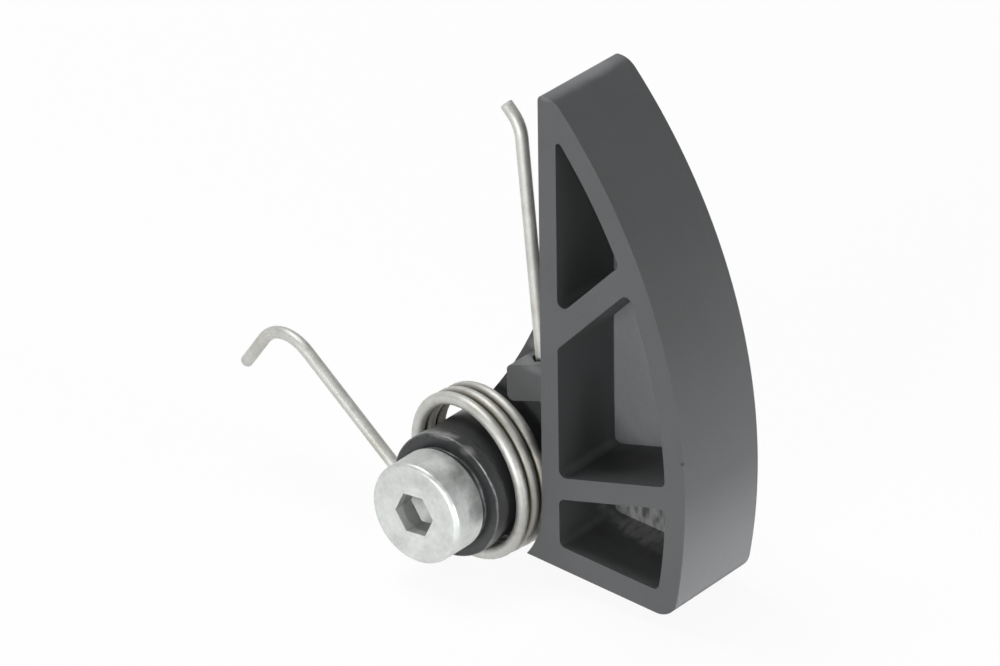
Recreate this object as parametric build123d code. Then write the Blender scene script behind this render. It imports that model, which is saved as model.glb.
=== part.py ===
from build123d import *
import math
import os

# Oil pump chain tensioner: a moulded shoe turns on a flanged collar that a bolt clamps to the
# engine, and a torsion spring round the shoe's boss presses the shoe against the chain.
# Millimetres. The origin is where the pivot axis meets the engine's face, +Y runs into the
# engine, +X points from the pivot to the chain and +Z up along the shoe.

# Bolt, low head with a hexagon socket
thread_radius = 4.0
shank_radius = 3.6
head_radius = 6.5
head_height = 5.0
head_edge_chamfer = 0.6
socket_across_flats = 5.0
socket_depth = 3.0
socket_cone_height = 0.8
socket_turn = 3.7
bolt_length = 35.0
thread_length = 14.8
thread_end_chamfer = 0.8

# Flanged collar that the bolt clamps
collar_bore_radius = 4.2
sleeve_radius = 6.0
flange_radius = 8.0
flange_thickness = 2.0
flange_edge_chamfer = 0.3
lip_radius = 6.1
lip_height = 1.0
collar_length = 20.2
collar_end_chamfer = 0.3

# Shoe, one moulding
running_clearance = 0.05
shoe_setback = 5.5
block_clearance = 0.2
flange_clearance = 0.1
boss_radius = 7.8
recess_gap = 0.5
shoe_top = 54.5
shoe_top_width = 2.3
chain_face_reach = 32.4
chain_face_centre_height = 6.4
tip_drop = 7.0
sole_slope = 4.8
top_corner_radius = 3.0
bottom_corner_radius = 3.0
left_wall = 2.55
chain_wall = 2.9
sole_wall = 3.1
pocket_depth = 11.0
pocket_corner_radius = 0.9
pocket_tip_radius = 0.45
brace_height = 21.7
brace_angle = 45.4
brace_thickness = 3.0
shelf_height = 2.8
shelf_angle = 13.7
shelf_thickness = 2.8

# Arm between the shoe and its boss
arm_setback = 5.5
arm_edge_top = 44.0
arm_edge_radius = 55.5
arm_edge_sweep = 45.0

# Lug that holds the spring's rear leg
lug_inset = 0.5
lug_reach = 5.5
lug_height = 4.8
lug_top = 19.0
lug_slope = 17.0
lug_slot_width = 3.8
lug_front_wall = 1.1
lug_corner_radius = 0.8

# Torsion spring, sitting a little askew on the boss
wire_radius = 0.8
coil_gap = 1.3
coil_pitch = 1.7
coil_setback = 5.91
coil_offset = (-0.5, 0.38)
coil_axis = (0.173, 1.0, 0.053)
front_leg_angle = -125.3
rear_leg_angle = 4.7
whole_turns = 3
arc_span = 45.0
front_leg_length = 26.45
front_bend_radius = 6.0
front_bend_angle = 86.0
front_tip_length = 6.1
rear_leg_length = 44.9
rear_bend_radius = 4.0
rear_bend_angle = 47.0
rear_tip_length = 1.3

# Faces along the pivot axis, from the engine outwards
collar_front = -collar_length
flange_front = collar_front + lip_height
flange_back = flange_front + flange_thickness
head_front = collar_front - head_height
shoe_back = -block_clearance
shoe_front = collar_front + shoe_setback
boss_front = flange_back + flange_clearance
arm_front = shoe_front + arm_setback
lug_front = shoe_front + lug_inset

# The coil clears the boss, and the shoe's round recess clears the coil
coil_centre = (coil_offset[0], collar_front + coil_setback, coil_offset[1])
coil_radius = boss_radius + coil_gap + wire_radius
recess_radius = coil_radius + wire_radius + recess_gap
recess_tip_x = math.sqrt(recess_radius**2 - tip_drop**2)
recess_tip_angle = -math.asin(tip_drop / recess_radius)

# The chain face is the arc that runs from the top's corner to its furthest reach
chain_face_bulge = chain_face_reach - recess_radius - shoe_top_width
chain_face_rise = shoe_top - chain_face_centre_height
chain_face_radius = (chain_face_bulge**2 + chain_face_rise**2) / (2 * chain_face_bulge)
chain_face_centre = (chain_face_reach - chain_face_radius, chain_face_centre_height)


def slab(outline, front, back):
    """Extrudes an outline drawn in X and Z between two places along Y."""
    return extrude(Plane.XZ.offset(-back) * outline, amount=back - front)


def turned(half_section):
    """Revolves a half section, drawn as radius and place along Y, about the pivot axis."""
    return revolve(half_section, axis=Axis.Y)


def band(start, angle, thickness, length):
    """A straight rib's outline, from its centre line's start point."""
    bar = Rectangle(length, thickness, align=(Align.MIN, Align.CENTER))
    return Pos(*start) * Rot(Z=angle) * bar


def make_bolt():
    tip = collar_front + bolt_length
    thread_start = tip - thread_length
    profile = Polyline(
        (0, head_front),
        (head_radius - head_edge_chamfer, head_front),
        (head_radius, head_front + head_edge_chamfer),
        (head_radius, collar_front),
        (shank_radius, collar_front),
        (shank_radius, thread_start),
        (thread_radius, thread_start),
        (thread_radius, tip - thread_end_chamfer),
        (thread_radius - thread_end_chamfer, tip),
        (0, tip),
        close=True,
    )
    body = turned(make_face(profile))
    hexagon = Rot(Z=socket_turn) * RegularPolygon(socket_across_flats / 2, 6, major_radius=False)
    socket = slab(hexagon, head_front, head_front + socket_depth)
    cone_top = head_front + socket_depth
    cone = turned(
        make_face(
            Polyline(
                (0, cone_top),
                (socket_across_flats / 2, cone_top),
                (0, cone_top + socket_cone_height),
                close=True,
            )
        )
    )
    return body - socket - cone


def make_collar():
    section = Polyline(
        (collar_bore_radius, collar_front),
        (lip_radius, collar_front),
        (lip_radius, flange_front),
        (flange_radius - flange_edge_chamfer, flange_front),
        (flange_radius, flange_front + flange_edge_chamfer),
        (flange_radius, flange_back - flange_edge_chamfer),
        (flange_radius - flange_edge_chamfer, flange_back),
        (sleeve_radius, flange_back),
        (sleeve_radius, -collar_end_chamfer),
        (sleeve_radius - collar_end_chamfer, 0),
        (collar_bore_radius, 0),
        close=True,
    )
    return turned(make_face(section))


def chain_face_x(height, radius):
    """X of an arc about the chain face's centre, at a height."""
    rise = height - chain_face_centre[1]
    return chain_face_centre[0] + math.sqrt(radius**2 - rise**2)


def shoe_outline():
    """Outline of the shoe's front face, with the round recess for the coil at its lower left."""
    tip = (recess_tip_x, -tip_drop)
    middle_angle = recess_tip_angle / 2
    recess_middle = (recess_radius * math.cos(middle_angle), recess_radius * math.sin(middle_angle))
    corner_x = chain_face_x(-tip_drop, chain_face_radius)
    corner_drop = tip_drop + (corner_x - recess_tip_x) * math.tan(math.radians(sole_slope))
    corner = (chain_face_x(-corner_drop, chain_face_radius), -corner_drop)
    top_corner = (chain_face_x(shoe_top, chain_face_radius), shoe_top)
    widest = (chain_face_reach, chain_face_centre_height)
    edges = [
        Line((recess_radius, 0), (recess_radius, shoe_top)),
        Line((recess_radius, shoe_top), top_corner),
        ThreePointArc(top_corner, widest, corner),
        Line(corner, tip),
        ThreePointArc(tip, recess_middle, (recess_radius, 0)),
    ]
    outline = make_face(edges)
    top_vertex = outline.vertices().sort_by_distance(Vertex(*top_corner))[0]
    rounded = fillet(top_vertex, top_corner_radius)
    bottom_vertex = rounded.vertices().sort_by_distance(Vertex(*corner))[0]
    return fillet(bottom_vertex, bottom_corner_radius)


def pocket_outline():
    """The hollow of the front face, left as three pockets by a slanting brace and a shelf."""
    left = recess_radius + left_wall
    inner_radius = chain_face_radius - chain_wall
    slope = math.tan(math.radians(sole_slope))
    floor_left = -tip_drop - (left - recess_tip_x) * slope + sole_wall
    reach = chain_face_reach
    floor_right = floor_left - (reach - left) * slope
    block = make_face(
        Polyline((left, floor_left), (reach, floor_right), (reach, shoe_top), (left, shoe_top), close=True)
    )
    hollow = block & (Pos(*chain_face_centre) * Circle(inner_radius))
    long = 2 * shoe_top
    brace = band((recess_radius, brace_height), brace_angle, brace_thickness, long)
    shelf = band((recess_radius, shelf_height), shelf_angle, shelf_thickness, long)
    corners = (hollow - brace - shelf).vertices().sort_by(Axis.Y)
    pockets = fillet(corners[:-1], pocket_corner_radius)
    tip = pockets.vertices().sort_by(Axis.Y)[-1]
    return fillet(tip, pocket_tip_radius)


def arm_outline():
    """Arm between boss and shoe, with a sweeping upper edge that ends in the shoe's left wall."""
    centre = (recess_radius - arm_edge_radius, arm_edge_top)

    def on_edge(sweep):
        angle = math.radians(sweep)
        x = centre[0] + arm_edge_radius * math.cos(angle)
        return (x, centre[1] - arm_edge_radius * math.sin(angle))

    low = on_edge(arm_edge_sweep)
    inside = recess_radius + left_wall
    tangent_angle = recess_tip_angle - math.acos(boss_radius / recess_radius)
    tangent = (boss_radius * math.cos(tangent_angle), boss_radius * math.sin(tangent_angle))
    edges = [
        ThreePointArc((recess_radius, arm_edge_top), on_edge(arm_edge_sweep / 2), low),
        Polyline(
            low,
            (0, 0),
            tangent,
            (recess_tip_x, -tip_drop),
            (inside, -tip_drop),
            (inside, arm_edge_top),
            (recess_radius, arm_edge_top),
        ),
    ]
    return make_face(edges) + Circle(boss_radius)


def make_lug():
    """Lug on the left wall, with a slot between it, the wall and the arm for the spring's leg."""
    rise = math.tan(math.radians(lug_slope))
    left = recess_radius - lug_reach
    top_left = lug_top - lug_reach * rise
    inside = recess_radius + left_wall / 2
    top_right = lug_top + (inside - recess_radius) * rise
    outline = make_face(
        Polyline(
            (left, top_left - lug_height),
            (inside, top_right - lug_height),
            (inside, top_right),
            (left, top_left),
            close=True,
        )
    )
    outline = fillet(outline.vertices().sort_by(Axis.X)[:2], lug_corner_radius)
    slot = Pos(recess_radius, lug_top) * Rectangle(
        lug_slot_width, 3 * lug_height, align=(Align.MAX, Align.CENTER)
    )
    return slab(outline, lug_front, arm_front) - slab(slot, lug_front + lug_front_wall, arm_front)


def make_shoe():
    body = slab(shoe_outline(), shoe_front, shoe_back)
    body -= slab(pocket_outline(), shoe_front, shoe_front + pocket_depth)
    body += slab(arm_outline(), arm_front, shoe_back)
    body += slab(Circle(boss_radius), boss_front, shoe_back)
    body += make_lug()
    bore = slab(Circle(sleeve_radius + running_clearance), boss_front, shoe_back)
    return body - bore


def coil_arcs(seat):
    """The coil's centre line as arcs, each leaving the last one tangentially."""
    turn = math.radians(whole_turns * 360 + rear_leg_angle - front_leg_angle)
    rise = coil_pitch / (2 * math.pi)
    count = math.ceil(turn / math.radians(arc_span))

    def on_coil(share):
        angle = math.radians(front_leg_angle) + share * turn
        return Vector(coil_radius * math.cos(angle), -coil_radius * math.sin(angle), rise * angle)

    first = math.radians(front_leg_angle)
    heading = Vector(-coil_radius * math.sin(first), -coil_radius * math.cos(first), rise).normalized()
    arcs = []
    for step in range(count):
        arc = TangentArc(on_coil(step / count), on_coil((step + 1) / count), tangent=heading)
        heading = arc % 1
        arcs.append((seat * arc).edge())
    return arcs


def leg_edges(start, direction, axis, length, bend_radius, bend_angle, tip_length):
    """Straight leg, a bend about the coil's axis and a short straight tip."""
    side = axis.cross(direction).normalized()
    plane = Plane(origin=start, x_dir=direction, z_dir=direction.cross(side))
    leg = Line((0, 0), (length, 0))
    bend = JernArc(start=leg @ 1, tangent=leg % 1, radius=bend_radius, arc_size=bend_angle)
    tip = Line(bend @ 1, (bend @ 1) + (bend % 1) * tip_length)
    return [(plane * piece).edge() for piece in (leg, bend, tip)]


def make_spring():
    """Torsion spring whose turns run anticlockwise towards the engine, seen from the bolt head."""
    seat = Plane(origin=coil_centre, x_dir=(coil_axis[1], -coil_axis[0], 0), z_dir=coil_axis)
    coil = coil_arcs(seat)
    front = leg_edges(
        coil[0] @ 0,
        (coil[0] % 0) * -1,
        seat.z_dir,
        front_leg_length,
        front_bend_radius,
        -front_bend_angle,
        front_tip_length,
    )
    rear = leg_edges(
        coil[-1] @ 1,
        coil[-1] % 1,
        seat.z_dir,
        rear_leg_length,
        rear_bend_radius,
        -rear_bend_angle,
        rear_tip_length,
    )
    path = Wire(front + coil + rear)
    section = Plane(origin=path @ 0, z_dir=path % 0) * Circle(wire_radius)
    return sweep(section, path=path)


os.makedirs("parts", exist_ok=True)
export_step(make_bolt(), "parts/pivot_bolt.step")
export_step(make_collar(), "parts/pivot_collar.step")
export_step(make_shoe(), "parts/tensioner_shoe.step")
export_step(make_spring(), "parts/torsion_spring.step")
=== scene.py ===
import math

import bmesh
import bpy
from mathutils import Matrix, Vector


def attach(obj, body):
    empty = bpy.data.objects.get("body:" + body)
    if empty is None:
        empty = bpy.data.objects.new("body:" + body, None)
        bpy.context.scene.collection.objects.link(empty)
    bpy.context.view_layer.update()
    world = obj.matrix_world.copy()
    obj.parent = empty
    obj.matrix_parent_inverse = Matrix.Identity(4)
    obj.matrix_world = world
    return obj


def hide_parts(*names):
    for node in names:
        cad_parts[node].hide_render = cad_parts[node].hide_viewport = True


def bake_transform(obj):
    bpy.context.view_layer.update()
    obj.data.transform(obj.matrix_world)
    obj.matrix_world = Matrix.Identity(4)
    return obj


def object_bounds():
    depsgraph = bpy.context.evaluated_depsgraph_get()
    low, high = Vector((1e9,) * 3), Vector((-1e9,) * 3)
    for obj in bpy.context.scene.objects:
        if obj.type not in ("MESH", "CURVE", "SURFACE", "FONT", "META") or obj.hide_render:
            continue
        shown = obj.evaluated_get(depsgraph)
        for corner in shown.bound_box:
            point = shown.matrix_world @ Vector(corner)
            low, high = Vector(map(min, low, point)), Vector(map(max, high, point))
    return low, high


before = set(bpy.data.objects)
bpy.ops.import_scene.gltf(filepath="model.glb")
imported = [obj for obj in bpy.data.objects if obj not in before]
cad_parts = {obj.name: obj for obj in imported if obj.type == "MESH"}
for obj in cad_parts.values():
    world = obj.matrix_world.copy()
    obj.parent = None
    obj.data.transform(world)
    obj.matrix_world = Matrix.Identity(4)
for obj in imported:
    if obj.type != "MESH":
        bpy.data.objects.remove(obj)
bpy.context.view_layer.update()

MM = 0.001
ABOUT_Y = (math.pi / 2, 0.0, 0.0)

ROUND_SIDES = 128

# Vertices closer than this are one, in metres; the points of a drawn outline lie further apart
TOUCHING = 1e-6
OUTLINE_MERGE = 0.02 * MM

# How far a cutting solid reaches past a face, and how deep a joined one sits in the block
CUT_PAST = 1.0
OVERLAP = 1.2

# Faces along the pivot axis, in millimetres, from the engine outwards
BOLT_TIP = 14.8
SHOE_BACK = -0.2
ARM_FRONT = -9.2
SHOE_FRONT = -14.7
LUG_FRONT = -14.2
BOSS_FRONT = -17.1
FLANGE_BACK = -17.2
FLANGE_FRONT = -19.2
HEAD_BACK = -20.2
HEAD_FRONT = -25.2

# The shoe's outline; its chain face bows out from a narrow top to its furthest reach
RECESS_RADIUS = 11.2
SHOE_TOP = 54.5
TOP_WIDTH = 2.3
CHAIN_REACH = 32.4
REACH_HEIGHT = 6.4
BULGE = CHAIN_REACH - RECESS_RADIUS - TOP_WIDTH
CHAIN_RADIUS = (BULGE**2 + (SHOE_TOP - REACH_HEIGHT) ** 2) / (2 * BULGE)
CHAIN_CENTRE = (CHAIN_REACH - CHAIN_RADIUS, REACH_HEIGHT)
TIP_DROP = 7.0
SOLE_SLOPE = math.radians(4.8)
BOSS_RADIUS = 7.8
BORE_RADIUS = 6.05


# Editing by hand

def select_only(piece):
    """Makes a piece the active one and the only one selected."""
    bpy.ops.object.select_all(action="DESELECT")
    piece.select_set(True)
    bpy.context.view_layer.objects.active = piece


def open_piece(piece, select="FACE"):
    """Opens a piece in edit mode with nothing selected."""
    if bpy.context.object and bpy.context.object.mode == "EDIT":
        bpy.ops.object.mode_set(mode="OBJECT")
    select_only(piece)
    bpy.ops.object.mode_set(mode="EDIT")
    bpy.ops.mesh.select_mode(type=select)
    bpy.ops.mesh.select_all(action="DESELECT")


def close_piece(piece, name=None):
    """Leaves edit mode and settles the piece at the origin."""
    if bpy.context.object.mode == "EDIT":
        bpy.ops.object.mode_set(mode="OBJECT")
    select_only(piece)
    bpy.ops.object.transform_apply(location=True, rotation=True, scale=True)
    if name:
        piece.name = name
        piece.data.name = name
    return piece


def pick(piece, wanted, part="faces"):
    """Selects the faces or edges that a test names."""
    mesh = bmesh.from_edit_mesh(piece.data)
    for element in getattr(mesh, part):
        if wanted(element):
            element.select_set(True)
    mesh.select_flush_mode()
    bmesh.update_edit_mesh(piece.data)


def merge_doubles(distance=TOUCHING):
    """Merges the vertices of the open mesh that lie closer than a distance."""
    bpy.ops.mesh.select_all(action="SELECT")
    bpy.ops.mesh.remove_doubles(threshold=distance)


def face_outwards():
    """Turns every face of the open mesh outwards."""
    bpy.ops.mesh.select_all(action="SELECT")
    bpy.ops.mesh.normals_make_consistent(inside=False)


def tidy_mesh(piece, distance=TOUCHING):
    """Merges doubles and turns every face outwards."""
    open_piece(piece)
    merge_doubles(distance)
    face_outwards()
    return close_piece(piece)


def carve(piece, tool, operation="DIFFERENCE"):
    """Cuts, joins or keeps what is shared with another solid, which is then gone."""
    change = piece.modifiers.new("carve", "BOOLEAN")
    change.operation = operation
    change.solver = "MANIFOLD"
    change.object = tool
    select_only(piece)
    bpy.ops.object.modifier_apply(modifier=change.name)
    bpy.data.objects.remove(tool)
    return tidy_mesh(piece)


def soften(piece, width, segments=3, sharper_than=35.0, smooth_below=40.0):
    """Rounds every edge that is sharper than an angle and marks the rounding for the wear."""
    piece.data.materials.append(None)
    piece.data.materials.append(None)
    bevel = piece.modifiers.new("soften", "BEVEL")
    bevel.material = 1
    bevel.width = width * MM
    bevel.segments = segments
    bevel.limit_method = "ANGLE"
    bevel.angle_limit = math.radians(sharper_than)
    bevel.miter_outer = "MITER_ARC"
    bevel.use_clamp_overlap = True
    select_only(piece)
    bpy.ops.object.modifier_apply(modifier=bevel.name)
    bpy.ops.object.shade_smooth_by_angle(angle=math.radians(smooth_below))
    beside = [set() for _ in piece.data.vertices]
    for face in piece.data.polygons:
        for vertex in face.vertices:
            beside[vertex].add(face.material_index)
    mark = piece.data.attributes.new("rounding", "FLOAT", "POINT")
    for value, kinds in zip(mark.data, beside):
        value.value = 1.0 if kinds == {1} else 0.0
    flat = piece.modifiers.new("flat_faces", "WEIGHTED_NORMAL")
    flat.mode = "FACE_AREA"
    flat.weight = 100
    flat.keep_sharp = True
    bpy.ops.object.modifier_apply(modifier=flat.name)
    return piece


def begin_outline(x, z, y):
    """Starts an outline as one point, from a plane merged to its middle."""
    bpy.ops.object.select_all(action="DESELECT")
    bpy.ops.mesh.primitive_plane_add(size=MM, location=(0, 0, 0))
    piece = bpy.context.object
    open_piece(piece, "VERT")
    bpy.ops.mesh.select_all(action="SELECT")
    bpy.ops.mesh.merge(type="CENTER")
    bpy.ops.transform.translate(value=(x * MM, y * MM, z * MM))
    return piece


def line_to(piece, x, z, y=None):
    """Draws the outline straight on to a place, in its own plane unless a depth is given."""
    mesh = bmesh.from_edit_mesh(piece.data)
    here = [v for v in mesh.verts if v.select][0].co
    rise = 0.0 if y is None else y * MM - here.y
    step = (x * MM - here.x, rise, z * MM - here.z)
    bpy.ops.mesh.extrude_vertices_move(TRANSFORM_OT_translate={"value": step})


def arc_about(piece, centre, degrees, steps):
    """Draws the outline on round a centre, clockwise seen from the front."""
    mesh = bmesh.from_edit_mesh(piece.data)
    y = [v for v in mesh.verts if v.select][0].co.y
    bpy.ops.mesh.spin(
        steps=steps,
        angle=-math.radians(degrees),
        center=(centre[0] * MM, y, centre[1] * MM),
        axis=(0, 1, 0),
    )


def finish_outline(piece, back):
    """Closes the outline, fills it and draws it out to its back face."""
    mesh = bmesh.from_edit_mesh(piece.data)
    ends = [v for v in mesh.verts if len(v.link_edges) == 1]
    front = ends[0].co.y
    merge_doubles(OUTLINE_MERGE)
    bpy.ops.mesh.select_all(action="SELECT")
    bpy.ops.mesh.edge_face_add()
    bpy.ops.mesh.extrude_region_move(TRANSFORM_OT_translate={"value": (0, back * MM - front, 0)})
    face_outwards()
    return close_piece(piece)


def cylinder(radius, front, back, sides=96):
    """A cylinder on the pivot axis."""
    bpy.ops.object.select_all(action="DESELECT")
    bpy.ops.mesh.primitive_cylinder_add(
        vertices=sides,
        radius=radius * MM,
        depth=(back - front) * MM,
        location=(0, (front + back) / 2 * MM, 0),
        rotation=ABOUT_Y,
    )
    return close_piece(bpy.context.object)


def turned(profile, sides=96):
    """A ring drawn out step by step along the pivot axis, as (radius, place) pairs."""
    radius, place = profile[0]
    bpy.ops.object.select_all(action="DESELECT")
    bpy.ops.mesh.primitive_circle_add(
        vertices=sides,
        radius=radius * MM,
        location=(0, place * MM, 0),
        rotation=ABOUT_Y,
    )
    piece = close_piece(bpy.context.object)
    open_piece(piece, "EDGE")
    bpy.ops.mesh.select_all(action="SELECT")
    for new_radius, new_place in profile[1:]:
        step = (0, (new_place - place) * MM, 0)
        bpy.ops.mesh.extrude_edges_move(TRANSFORM_OT_translate={"value": step})
        share = new_radius / radius
        bpy.ops.transform.resize(value=(share, 1, share), center_override=(0, new_place * MM, 0))
        radius, place = new_radius, new_place
    return piece


def close_turned(piece, ring_shaped):
    """Joins a ring-shaped section's ends, or fills both ends of a solid one."""
    merge_doubles()
    if not ring_shaped:
        bpy.ops.mesh.select_all(action="DESELECT")
        bpy.ops.mesh.select_non_manifold(extend=False)
        bpy.ops.mesh.edge_face_add()
    face_outwards()
    return close_piece(piece)


# Outlines whose sides are straight or follow the chain face, drawn clockwise seen from the front

def straight(x, z, degrees):
    """A straight side through a place, heading at an angle from +X towards +Z."""
    way = math.radians(degrees)
    return {"point": Vector((x, z)), "way": Vector((math.cos(way), math.sin(way)))}


def bowed(radius):
    """A side that follows an arc about the chain face's centre."""
    return {"centre": Vector(CHAIN_CENTRE), "radius": radius}


def rounding_centre(first, second, rounding, near):
    """The middle of a rounding that touches two sides from inside, near a place."""
    lines = []
    for side in (first, second):
        if "way" in side:
            inward = Vector((side["way"].y, -side["way"].x))
            lines.append((side["point"] + inward * rounding, side["way"]))
    if len(lines) == 2:
        (p, d), (q, e) = lines
        share = ((q - p).x * e.y - (q - p).y * e.x) / (d.x * e.y - d.y * e.x)
        return p + d * share
    bow = first if "radius" in first else second
    p, d = lines[0]
    off = p - bow["centre"]
    along = off.dot(d)
    reach = math.sqrt(along**2 - off.length_squared + (bow["radius"] - rounding) ** 2)
    places = [p + d * (-along + reach), p + d * (-along - reach)]
    return min(places, key=lambda place: (place - Vector(near)).length)


def touch(side, centre):
    """Where a rounding touches a side."""
    if "way" in side:
        return side["point"] + side["way"] * (centre - side["point"]).dot(side["way"])
    return side["centre"] + (centre - side["centre"]).normalized() * side["radius"]


def clockwise(centre, start, end):
    """Degrees turned clockwise about a centre from one place to another."""
    a, b = start - Vector(centre), end - Vector(centre)
    turn = math.atan2(a.y, a.x) - math.atan2(b.y, b.x)
    return math.degrees(turn % (2 * math.pi))


def draw_rounded(corners, front, back):
    """Draws a closed outline from (side, corner after it, its rounding) and gives it depth."""
    rounds = []
    for index, (side, near, rounding) in enumerate(corners):
        following = corners[(index + 1) % len(corners)][0]
        centre = rounding_centre(side, following, rounding, near)
        rounds.append((touch(side, centre), touch(following, centre), centre))
    here = rounds[-1][1]
    piece = begin_outline(here.x, here.y, front)
    for (side, _, _), (start, end, centre) in zip(corners, rounds):
        if "way" in side:
            line_to(piece, start.x, start.y)
        else:
            turn = clockwise(side["centre"], here, start)
            arc_about(piece, side["centre"], turn, max(3, round(turn / BOW_STEP)))
        arc_about(piece, centre, clockwise(centre, start, end), CORNER_STEPS)
        here = end
    return finish_outline(piece, back)


# The moulded shoe

BOW_STEP = 1.2
CORNER_STEPS = 6
POCKET_FLOOR = SHOE_FRONT + 11.0
POCKET_LEFT = RECESS_RADIUS + 2.55
POCKET_BOW = CHAIN_RADIUS - 2.9
POCKET_ROUNDING = 0.9
POCKET_TIP = 0.45
SOLE_THICKNESS = 3.1
BRACE_ANGLE = 45.4
BRACE_HEIGHT = 21.7
BRACE_HALF = 1.5
SHELF_ANGLE = 13.7
SHELF_HEIGHT = 2.8
SHELF_HALF = 1.4
TOP_ROUNDING = 3.0
BOTTOM_ROUNDING = 3.0
EDGE_ROUNDING = 0.8
RECESS_STEPS = 16
SWEEP_TOP = 44.0
SWEEP_RADIUS = 55.5
SWEEP_TURN = 45
SWEEP_STEPS = 30
LUG_REACH = 5.5
LUG_HEIGHT = 4.8
LUG_TOP = 19.0
LUG_SLOPE = 17.0
LUG_ROUNDING = 0.8
LUG_WALL = 1.1
SLOT_WIDTH = 3.8
SLOT_SLANT = 1.6


def tip_place():
    """The sharp lower corner where the sole meets the round recess."""
    return Vector((math.sqrt(RECESS_RADIUS**2 - TIP_DROP**2), -TIP_DROP))


def edges_of(height, half, degrees):
    """The heights of a slanting rib's upper and lower edge at the left wall."""
    upright = half / math.cos(math.radians(degrees))
    return height + upright, height - upright


def make_block():
    """The shoe's thick curved body."""
    tip = tip_place()
    top = straight(RECESS_RADIUS, SHOE_TOP, 0)
    bow = bowed(CHAIN_RADIUS)
    sole = straight(tip.x, tip.y, 180 - math.degrees(SOLE_SLOPE))
    upper = rounding_centre(top, bow, TOP_ROUNDING, (12, SHOE_TOP))
    lower = rounding_centre(bow, sole, BOTTOM_ROUNDING, (30, -8))
    piece = begin_outline(RECESS_RADIUS, 0, SHOE_FRONT)
    line_to(piece, RECESS_RADIUS, SHOE_TOP - EDGE_ROUNDING)
    edge_centre = (RECESS_RADIUS + EDGE_ROUNDING, SHOE_TOP - EDGE_ROUNDING)
    arc_about(piece, edge_centre, 90, CORNER_STEPS)
    start, end = touch(top, upper), touch(bow, upper)
    line_to(piece, start.x, start.y)
    arc_about(piece, upper, clockwise(upper, start, end), CORNER_STEPS)
    here, start, end = end, touch(bow, lower), touch(sole, lower)
    turn = clockwise(CHAIN_CENTRE, here, start)
    arc_about(piece, CHAIN_CENTRE, turn, round(turn / BOW_STEP))
    arc_about(piece, lower, clockwise(lower, start, end), 2 * CORNER_STEPS)
    line_to(piece, tip.x, tip.y)
    recess = math.degrees(math.asin(TIP_DROP / RECESS_RADIUS))
    arc_about(piece, (0, 0), -recess, RECESS_STEPS)
    return finish_outline(piece, SHOE_BACK)


def make_pockets():
    """Solids for the three hollows of the front face."""
    front = SHOE_FRONT - 2 * CUT_PAST
    left = straight(POCKET_LEFT, 0, 90)
    bow = bowed(POCKET_BOW)
    brace_top, brace_low = edges_of(BRACE_HEIGHT, BRACE_HALF, BRACE_ANGLE)
    shelf_top, shelf_low = edges_of(SHELF_HEIGHT, SHELF_HALF, SHELF_ANGLE)
    tip = tip_place()
    slope = math.degrees(SOLE_SLOPE)
    sole_z = -TIP_DROP - (POCKET_LEFT - tip.x) * math.tan(SOLE_SLOPE) + SOLE_THICKNESS
    upper = [
        (left, (POCKET_LEFT, 50), POCKET_TIP),
        (bow, (22.5, 35), POCKET_ROUNDING),
        (straight(RECESS_RADIUS, brace_top, 180 + BRACE_ANGLE), (14, 27), POCKET_ROUNDING),
    ]
    middle = [
        (left, (POCKET_LEFT, 22), POCKET_ROUNDING),
        (straight(RECESS_RADIUS, brace_low, BRACE_ANGLE), (24, 32), POCKET_ROUNDING),
        (bow, (29, 8), POCKET_ROUNDING),
        (straight(RECESS_RADIUS, shelf_top, 180 + SHELF_ANGLE), (14, 5), POCKET_ROUNDING),
    ]
    lower = [
        (left, (POCKET_LEFT, 2), POCKET_ROUNDING),
        (straight(RECESS_RADIUS, shelf_low, SHELF_ANGLE), (29, 5), POCKET_ROUNDING),
        (bow, (28, -5), POCKET_ROUNDING),
        (straight(POCKET_LEFT, sole_z, 180 - slope), (14, -4), POCKET_ROUNDING),
    ]
    return [draw_rounded(c, front, POCKET_FLOOR) for c in (upper, middle, lower)]


def make_arm():
    """The plate between the boss and the shoe, with its sweeping upper edge."""
    centre = (RECESS_RADIUS - SWEEP_RADIUS, SWEEP_TOP)
    tip = tip_place()
    way = -math.asin(TIP_DROP / RECESS_RADIUS) - math.acos(BOSS_RADIUS / RECESS_RADIUS)
    tangent = (BOSS_RADIUS * math.cos(way), BOSS_RADIUS * math.sin(way))
    inside = RECESS_RADIUS + OVERLAP
    piece = begin_outline(RECESS_RADIUS, SWEEP_TOP, ARM_FRONT)
    arc_about(piece, centre, SWEEP_TURN, SWEEP_STEPS)
    line_to(piece, tangent[0], tangent[1])
    line_to(piece, tip.x, tip.y)
    line_to(piece, inside, tip.y)
    line_to(piece, inside, SWEEP_TOP)
    return finish_outline(piece, SHOE_BACK)


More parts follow.
